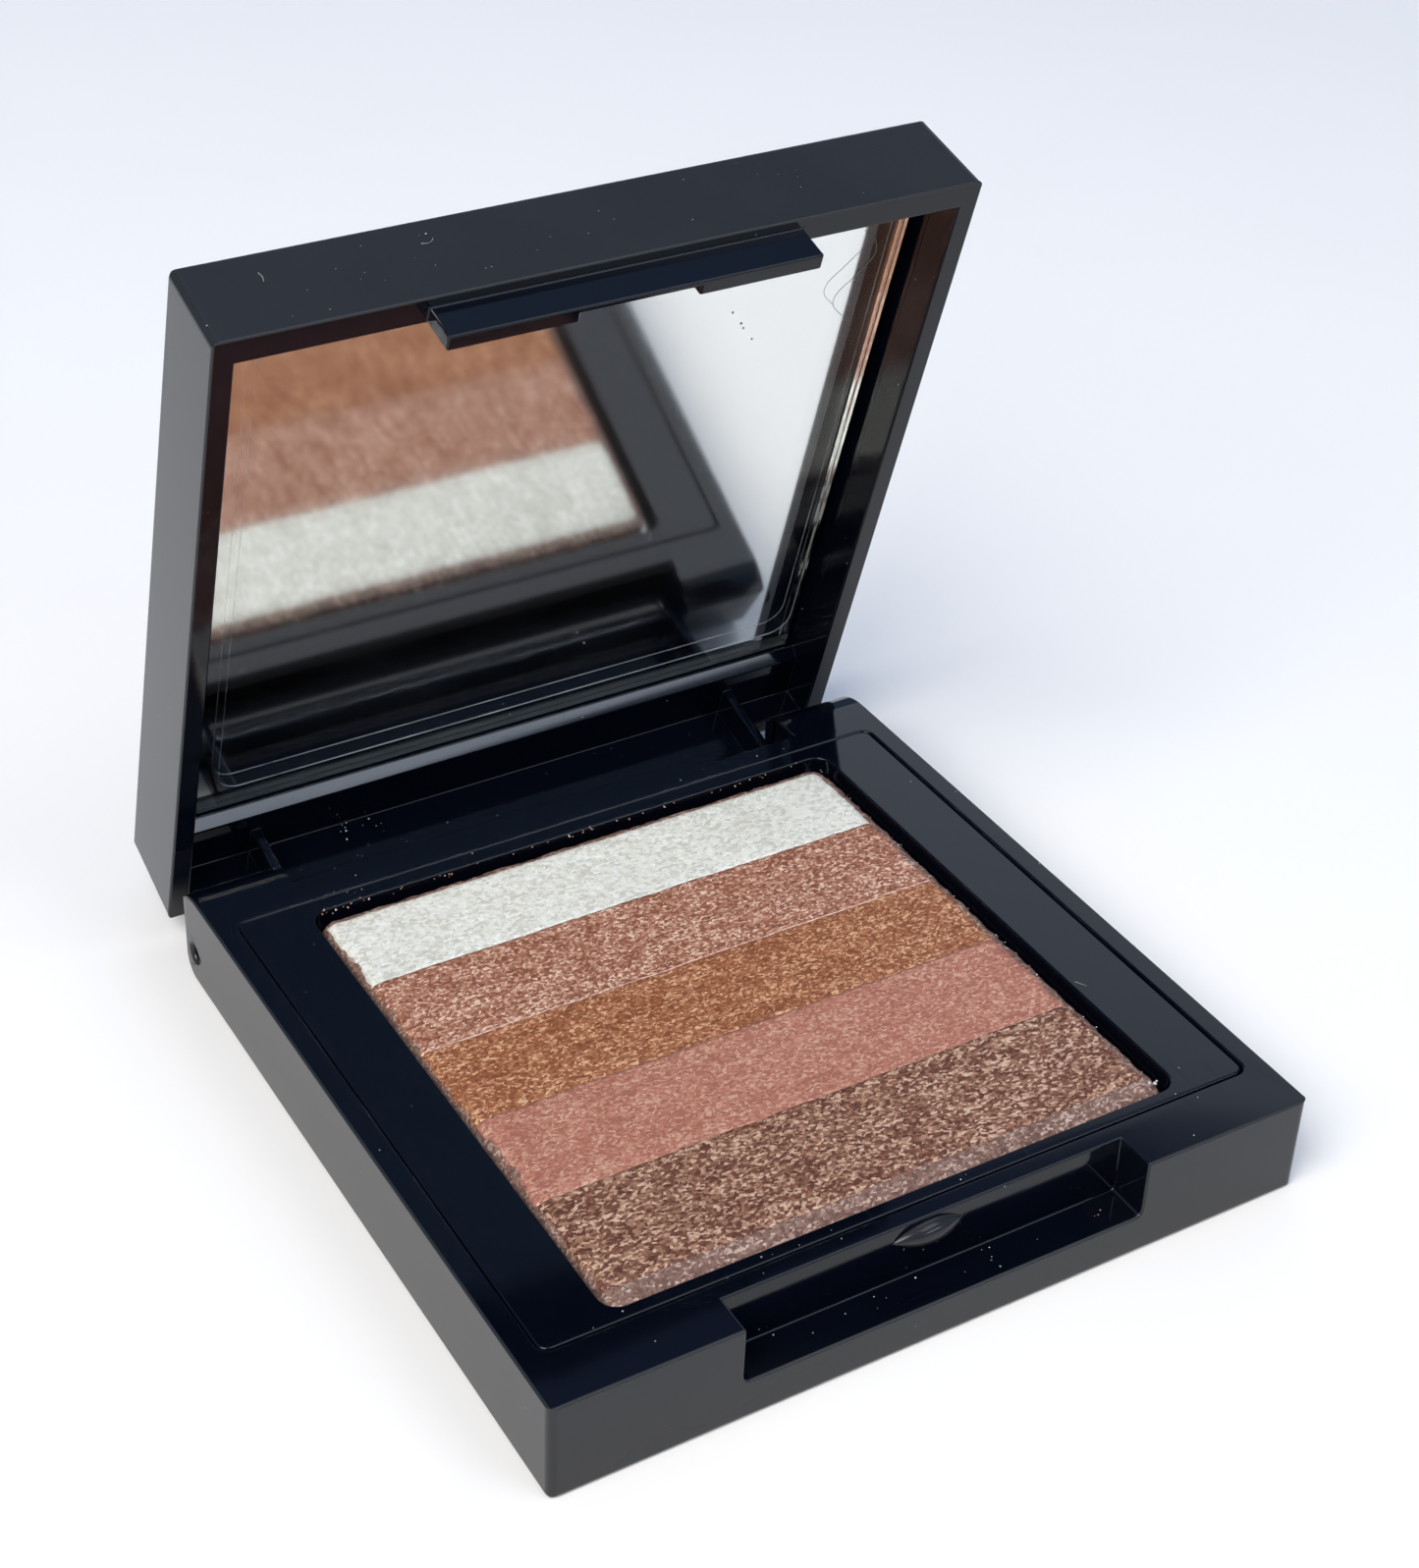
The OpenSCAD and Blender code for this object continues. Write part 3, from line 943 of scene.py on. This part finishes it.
def make_stripe(number):
    """One stripe: a grid over the top, skirts and a bottom."""
    name = stripe_names[number]
    columns = round((stripe_right - stripe_left) / GRID)
    rows = round((stripe_lines[number + 1] - stripe_lines[number]) / GRID)
    bm = bmesh.new()
    grid = []
    for j in range(rows + 1):
        line = []
        for i in range(columns + 1):
            x = stripe_left + (stripe_right - stripe_left) * i / columns
            y = stripe_line(number, x) * (1 - j / rows) + stripe_line(number + 1, x) * j / rows
            left, right = stripe_side(-1, y), stripe_side(1, y)
            x = left + (right - left) * i / columns
            y = stripe_line(number, x) * (1 - j / rows) + stripe_line(number + 1, x) * j / rows
            z = powder_top + grain_height(x, y)
            z -= edge_drop(min(x - left, right - x), EDGE_WIDTH, EDGE_DEPTH)
            front = edge_drop(y - stripe_lines[0], EDGE_WIDTH, FRONT_DEPTH)
            z -= front + edge_drop(stripe_lines[5] - y, EDGE_WIDTH, EDGE_DEPTH)
            z -= edge_drop(min(j, rows - j) * GRID, BORDER_WIDTH, BORDER_DEPTH)
            line.append(bm.verts.new((x, y, z)))
        grid.append(line)
    for near, far in zip(grid, grid[1:]):
        for i in range(columns):
            bm.faces.new((near[i], near[i + 1], far[i + 1], far[i]))
    rim = grid[0][:-1] + [line[-1] for line in grid[:-1]]
    rim += grid[-1][:0:-1] + [line[0] for line in grid[:0:-1]]
    foot = [bm.verts.new((v.co.x, v.co.y, powder_low)) for v in rim]
    for k in range(len(rim)):
        bm.faces.new((rim[k - 1], rim[k], foot[k], foot[k - 1]))
    bm.faces.new(foot)
    return new_piece(name.replace("powder", "stripe"), bm)


# %% [markdown]
# ## Powder finish
# Shimmer powder is matt pigment full of small flat mica flakes. Most flakes only shift the tone, and a few
# face the light and flash.
# Three layers do it: soft noise stretched along the stripe for the brushed look, cells for the flakes, and
# a few much brighter cells, whose pale colour is partly the flakes' own and partly a painted glint. Fine
# noise also paints the powder darker in the hollows of its bump, as painted shade. The flakes are part
# metal, and their cell colours tilt the normal so that they catch light one by one.

# %% Powder finish
# places of each powder's four colours: partly painted shade for the hollows, the body, the flakes, and
# partly a painted glint
TONE_PLACES = (0.2, 0.45, 0.66, 0.86)


def shimmer(name, colours_with_shade_and_glint, grain, seed):
    """Pressed shimmer powder: its colours run from painted shade in the hollows to the brightest flakes,
    partly a painted glint.
    """
    powder = Finish(name, Specular_IOR_Level=0.4)
    shift = (seed, seed * 0.37, 0)
    along = powder.node(
        "ShaderNodeVectorMath", {"operation": "ADD"}, {0: powder.place((0.7, 1, 1)), 1: shift}
    )
    # the place is pushed about before the cells are drawn, so that flakes get ragged outlines
    bent = powder.node("ShaderNodeTexNoise", values={"Vector": along, "Scale": 2500.0}, output=1)
    swirl = powder.node(
        "ShaderNodeVectorMath", {"operation": "MULTIPLY_ADD"}, {0: bent, 1: (0.0004, 0.0004, 0), 2: along}
    )
    hollow = powder.noise(0.24, swirl, detail=3, rough=0.6)
    cloud = powder.noise(1.6, powder.place((0.4, 1, 1)), detail=3)
    flakes = powder.cells(grain, swirl, "Color")
    chance = powder.part_of(flakes, 0)
    second = powder.part_of(flakes, 1)
    # the tone is mostly the flake's own chance, with painted shade where the bump has its hollows, and
    # drifts slowly over the cake
    tone = chance * 0.7 + hollow * 0.7 + cloud * 0.45 - 0.42
    colour = powder.node(
        "ShaderNodeValToRGB", {"stops": list(zip(TONE_PLACES, colours_with_shade_and_glint))}, {"Fac": tone}
    )
    powder.feed("Base Color", colour)
    shine = powder.band(tone, 0.5, 0.9)
    powder.feed("Metallic", shine * 0.3)
    powder.feed("Roughness", 0.6 - shine * 0.25)
    powder.feed("Normal", powder.bump(hollow + second * 0.5, 0.06))
    return powder


# each powder's darkest colour is partly painted shade in the hollows, and its palest is partly a painted
# glint on the flakes
POWDERS = {
    "powder_pearl": shimmer(
        "pearl_powder",
        ((0.56, 0.55, 0.49), (0.72, 0.715, 0.645), (0.82, 0.815, 0.74), (1.0, 1.0, 0.94)),
        0.26, 1.1,
    ),
    "powder_rose": shimmer(
        "rose_powder",
        ((0.2, 0.066, 0.034), (0.33, 0.13, 0.077), (0.52, 0.27, 0.18), (0.9, 0.63, 0.49)),
        0.18, 2.2,
    ),
    "powder_bronze": shimmer(
        "bronze_powder",
        ((0.19, 0.056, 0.019), (0.29, 0.1, 0.04), (0.44, 0.18, 0.088), (0.8, 0.47, 0.27)),
        0.17, 3.3,
    ),
    "powder_pink": shimmer(
        "pink_powder",
        ((0.32, 0.115, 0.08), (0.41, 0.16, 0.108), (0.51, 0.23, 0.158), (0.71, 0.42, 0.3)),
        0.18, 4.4,
    ),
    "powder_taupe": shimmer(
        "taupe_powder",
        ((0.09, 0.028, 0.015), (0.185, 0.073, 0.042), (0.36, 0.19, 0.118), (0.75, 0.51, 0.36)),
        0.2, 5.5,
    ),
}

for number, name in enumerate(stripe_names):
    finish_piece(make_stripe(number), "base", POWDERS[name], [name])

# %% [markdown]
# ## Backing and its crust
# The pink backing was pressed first, and its edge stands round the stripes as a rough crust: wide in
# front and on the left, almost nothing on the other two sides. It is a ring of faces between the stripes'
# outline and the cake's outline, roughened by noise.

# %% Backing
cake_low, cake_high = box_mm("powder_base")
CAKE_R = 1.6
CRUST_ROUGH = 0.14
CRUST_FALL = 0.75
SKIRT_Z = 6.62


def perimeter(x0, y0, x1, y1, radius, step):
    """Evenly spaced points round a rectangle with rounded corners."""
    corners = rounded(x0, y0, x1, y1, radius, 8)
    points = []
    for a, b in zip(corners, corners[1:] + corners[:1]):
        length = math.dist(a, b)
        count = max(1, round(length / step))
        for k in range(count):
            points.append((a[0] + (b[0] - a[0]) * k / count, a[1] + (b[1] - a[1]) * k / count))
    return points


def make_backing():
    """The backing: a block in the pan, and the rough crust on top of it."""
    outline = perimeter(cake_low.x, cake_low.y, cake_high.x, cake_high.y, CAKE_R, 0.25)
    middle = Vector(((stripe_left + stripe_right) / 2, (stripe_lines[0] + stripe_lines[5]) / 2))
    bm = bmesh.new()
    rings = []
    steps = 9
    for j in range(steps + 1):
        share = j / steps
        ring = []
        for x, y in outline:
            inside_x = min(max(x, stripe_left + 0.5), stripe_right - 0.5)
            inside_y = min(max(y, stripe_lines[0] + 0.5), stripe_lines[5] - 0.5)
            rough = noise.noise(Vector((x * 1.3, y * 1.3, share * 2))) * CRUST_ROUGH
            px = inside_x + (x - inside_x) * share
            py = inside_y + (y - inside_y) * share
            pz = powder_top - 0.12 - CRUST_FALL * share ** 2.5 + rough * share
            pz += 0.05 * noise.noise(Vector((px * 4, py * 4, 2)))
            away = (Vector((px, py)) - middle).normalized() * rough * share
            ring.append(bm.verts.new((px + away.x, py + away.y, pz)))
        rings.append(ring)
    rings.append([bm.verts.new((x * 0.99, y * 0.99, SKIRT_Z)) for x, y in outline])
    rings.append([bm.verts.new((x * 0.985, y * 0.985, cake_low.z)) for x, y in outline])
    for near, far in zip(rings, rings[1:]):
        for k in range(len(outline)):
            bm.faces.new((near[k - 1], near[k], far[k], far[k - 1]))
    bm.faces.new(rings[0])
    bm.faces.new(rings[-1])
    return new_piece("backing", bm)


# as on the stripes, the darkest colour is partly painted shade and the palest partly a painted glint
backing_finish = shimmer(
    "powder_backing",
    ((0.13, 0.066, 0.048), (0.2, 0.11, 0.083), (0.27, 0.158, 0.125), (0.6, 0.44, 0.36)),
    0.18, 6.6,
)
finish_piece(make_backing(), "base", backing_finish, ["powder_base"])

# %% [markdown]
# ## Tools for small debris
# Pressed powder sheds. Crumbs lie along its edges, a few pale grains cling to the lid, and a hair and some
# lint have settled. They could be painted on, but a real grain stands up, catches the light on one
# side and shows again in the mirror, so each is a tiny mesh: a ball with its corners pushed about, or
# a thin tube along a curve. One seeded source of chance places them all, so that they fall the same way
# on each run.

# %% Tools for small debris
chance = random.Random(12)


def add_grain(bm, place, size):
    """An irregular crumb."""
    made = bmesh.ops.create_icosphere(bm, subdivisions=1, radius=size / 2)
    for vertex in made["verts"]:
        vertex.co = vertex.co * chance.uniform(0.55, 1.15) + Vector(place)


def add_strand(bm, points, thick):
    """A thin fibre that runs smoothly through the points."""
    points = [Vector(p) for p in points]
    padded = [2 * points[0] - points[1], *points, 2 * points[-1] - points[-2]]
    path = []
    for a, b, c, d in zip(padded, padded[1:], padded[2:], padded[3:]):
        for t in (0, 0.25, 0.5, 0.75):
            bend = (2 * a - 5 * b + 4 * c - d) * t**2 / 2
            path.append(b + (c - a) * t / 2 + bend + (3 * b - 3 * c + d - a) * t**3 / 2)
    path.append(points[-1])
    rows = []
    for k, point in enumerate(path):
        ahead = path[min(k + 1, len(path) - 1)] - path[max(k - 1, 0)]
        side = ahead.cross(Vector((0.3, 0.5, 0.8))).normalized() * thick / 2
        over = ahead.cross(side).normalized() * thick / 2
        rows.append([bm.verts.new(point + v) for v in (side, over, -side, -over)])
    for near, far in zip(rows, rows[1:]):
        for j in range(4):
            bm.faces.new((near[j - 1], near[j], far[j], far[j - 1]))
    bm.faces.new(rows[0])
    bm.faces.new(rows[-1])


def debris_finish(name, dark, light, size):
    """Dull specks whose colour changes from one to the next."""
    dull = Finish(name, Roughness=0.8)
    drift = dull.noise(size, dull.place())
    dull.feed("Base Color", dull.mix(dull.band(drift, 0.42, 0.58), dark, light))
    return dull


print("debris tools are ready")

# %% [markdown]
# ## Crumbs
# Most crumbs lie against the well's rear wall, thicker at the left, and a finer row lies along the right.
# A few have reached the deck and the notch. Where rose meets bronze, a fine pale line of loose powder
# shows along the border.

# %% Crumbs
REAR_CRUMBS = 60
RIGHT_CRUMBS = 40
DECK_CRUMBS = 26
NOTCH_CRUMBS = 14
SEAM_POINTS = 60
SEAM_WIDTH = 0.13
SEAM_SUNK = 0.035


def make_crumbs():
    """Crumbs round the cake, on the deck and in the notch."""
    bm = bmesh.new()
    for k in range(REAR_CRUMBS):
        share = chance.random() ** 1.6
        x = stripe_left + share * (stripe_right - stripe_left)
        y = well_y1 + chance.uniform(-0.35, 0.15)
        add_grain(bm, (x, y, base_h + chance.uniform(-0.35, 0)), chance.uniform(0.08, 0.24))
    for k in range(RIGHT_CRUMBS):
        y = chance.uniform(stripe_lines[0], stripe_lines[5])
        x = stripe_right + chance.uniform(0.1, 0.5)
        add_grain(bm, (x, y, powder_top - 0.2), chance.uniform(0.06, 0.16))
    for k in range(DECK_CRUMBS):
        x = chance.uniform(-27, 27)
        y = chance.choice((chance.uniform(24.2, 26.6), chance.uniform(-28, -26.2)))
        add_grain(bm, (x, y, base_h + 0.02), chance.uniform(0.05, 0.14))
    for k in range(NOTCH_CRUMBS):
        place = (chance.uniform(-15, 15), chance.uniform(notch_back - 2, notch_back), notch_floor)
        add_grain(bm, place, chance.uniform(0.08, 0.16))
    return new_piece("crumbs", bm)


def make_seam():
    """The fine pale line where rose meets bronze."""
    bm = bmesh.new()
    points = []
    for k in range(SEAM_POINTS + 1):
        x = stripe_left + 0.3 + (stripe_right - stripe_left - 0.6) * k / SEAM_POINTS
        y = stripe_line(3, x)
        points.append((x, y, powder_top + grain_height(x, y) - SEAM_SUNK + chance.uniform(-0.02, 0.02)))
    add_strand(bm, points, SEAM_WIDTH)
    return new_piece("seam_of_rose_and_bronze", bm)


crumb_finish = debris_finish("crumb_powder", (0.3, 0.13, 0.08), (0.75, 0.66, 0.6), 0.8)
seam_finish = debris_finish("seam_powder", (0.5, 0.3, 0.24), (0.8, 0.6, 0.52), 0.5)
finish_piece(make_crumbs(), "base", crumb_finish)
finish_piece(make_seam(), "base", seam_finish)

# %% [markdown]
# ## Lint and a hair
# The lid's web has caught pale grains, its free end two short fibres, and a fine hair lies on the
# mirror's film. Each lies on the face it clings to, so its numbers are given in the closed lid's place.

# %% Lint and a hair
WEB_GRAINS = 12
WEB_DUST = 30
END_DUST = 24


def make_deck_lint():
    """A short fibre and three larger grains on the deck."""
    bm = bmesh.new()
    add_strand(bm, [(24.9, -12.4, base_h), (25.1, -12.9, base_h + 0.05), (25.4, -13.3, base_h)], 0.05)
    for x, y, size in ((22.9, -24.9, 0.42), (22.6, -24.7, 0.3), (23.2, -24.75, 0.24)):
        add_grain(bm, (x, y, base_h - 0.05), size)
    return new_piece("deck_lint", bm)


def make_lid_lint():
    """Pale grains on the lid's web and fibres on its free end."""
    bm = bmesh.new()
    for k in range(WEB_GRAINS):
        x = chance.choice((chance.uniform(-16, -14.6), chance.uniform(-13.6, -11.7)))
        add_grain(bm, (x, rear_wall_y, chance.uniform(9.7, 11.9)), chance.uniform(0.08, 0.22))
    for k in range(WEB_DUST):
        place = (chance.uniform(-21, 21), rear_wall_y, chance.uniform(7, 11.5))
        add_grain(bm, place, chance.uniform(0.04, 0.09))
    end = -half_d
    add_strand(bm, [(-13.7, end, 14.2), (-13.3, end, 14.1), (-12.9, end, 14.2), (-12.6, end, 14.5)], 0.04)
    add_grain(bm, (-12.9, end, 15.1), 0.16)
    add_strand(bm, [(-26.1, end, 14.6), (-26.0, end, 14.1), (-26.1, end, 13.6)], 0.035)
    for k in range(END_DUST):
        add_grain(bm, (chance.uniform(-29, 29), end + 0.02, chance.uniform(9.5, 15.5)), 0.07)
    for x, y in ((0.8, 23.2), (7.0, 16.3)):
        add_grain(bm, (x, y, mirror_z - 0.04), 0.2)
    return new_piece("lid_lint", bm)


def make_hair():
    """A fine hair on the film, and two dark specks on the mirror."""
    bm = bmesh.new()
    bends = (
        (25.2, -25.1), (26.5, -24.0), (26.9, -22.2), (25.6, -20.4),
        (24.2, -18.9), (24.1, -17.6), (25.3, -16.2),
    )
    add_strand(bm, [(x, y, mirror_z - 0.07) for x, y in bends], 0.05)
    for x, y in ((15.4, -17.9), (16.8, -15.9)):
        add_grain(bm, (x, y, mirror_z - 0.04), 0.24)
    return new_piece("hair", bm)


lint_finish = debris_finish("pale_lint", (0.25, 0.25, 0.26), (0.6, 0.58, 0.55), 1.5)
hair_finish = debris_finish("dark_hair", (0.1, 0.09, 0.08), (0.2, 0.18, 0.16), 2)
finish_piece(make_deck_lint(), "base", lint_finish)
finish_piece(make_lid_lint(), "lid", lint_finish)
finish_piece(make_hair(), "lid", hair_finish)

# %% [markdown]
# ## Hidden and small pieces
# The tin pan, its glue dots, the foam pad behind the mirror and the blank label are the right shape in
# the CAD model, so they stay and only get their finishes.

# %% Small finishes
def dress(node, finish):
    """Puts a finish on a CAD node."""
    piece = frame["nodes"][node]
    piece.data.materials.clear()
    piece.data.materials.append(finish.material)


def tin_finish():
    """Bright pressed tin with drawing marks."""
    tin = Finish("pan_tin", Metallic=1.0)
    marks = tin.noise(0.3, tin.place((0.1, 1, 1)), detail=3)
    tin.feed("Base Color", tin.mix(marks, (0.55, 0.55, 0.56), (0.75, 0.75, 0.76)))
    tin.feed("Roughness", 0.25 + marks * 0.2)
    return tin


def steel_finish():
    """Ground steel wire."""
    steel = Finish("pin_steel", Metallic=1.0)
    rings = steel.noise(0.2, steel.place((1, 0.1, 0.1)), detail=3)
    steel.feed("Base Color", steel.mix(rings, (0.35, 0.35, 0.36), (0.6, 0.6, 0.62)))
    steel.feed("Roughness", 0.25 + rings * 0.25)
    return steel


def soft_finish(name, dark, light, rough, size):
    """Paper, foam or glue: a dull surface with a fine grain."""
    dull = Finish(name, Roughness=rough)
    grain = dull.noise(size, dull.place(), detail=4)
    dull.feed("Base Color", dull.mix(grain, dark, light))
    dull.feed("Normal", dull.bump(grain, size * 0.1))
    return dull


dress("pan", tin_finish())
dress("pan_glue", soft_finish("glue", (0.7, 0.68, 0.6), (0.85, 0.83, 0.75), 0.4, 1.5))
dress("mirror_tape", soft_finish("tape_foam", (0.1, 0.1, 0.1), (0.2, 0.2, 0.2), 0.9, 0.4))
dress("base_label", soft_finish("label_paper", (0.78, 0.78, 0.76), (0.86, 0.86, 0.84), 0.8, 0.3))
print("hidden pieces are dressed")

# %% [markdown]
# ## Hinge pins
# Two short pins of ground steel wire sit pressed into the ears, and the knuckle turns on their inner
# ends. Only their chamfered ends can be seen, deep in the holes of the side walls.

# %% Hinge pins
steel = steel_finish()


def make_pin(side):
    """A hinge pin with chamfered ends."""
    node = "hinge_pin_left" if side < 0 else "hinge_pin_right"
    low, high = box_mm(node)
    pin = rod(node.replace("hinge_", "") + "_ground", low.x, high.x, hinge_y, hinge_z, pin_r)
    round_edges(pin, 0.2, lambda middle, along: 0.2, 2)
    finish_piece(pin, "base", steel, [node])


make_pin(-1)
make_pin(1)
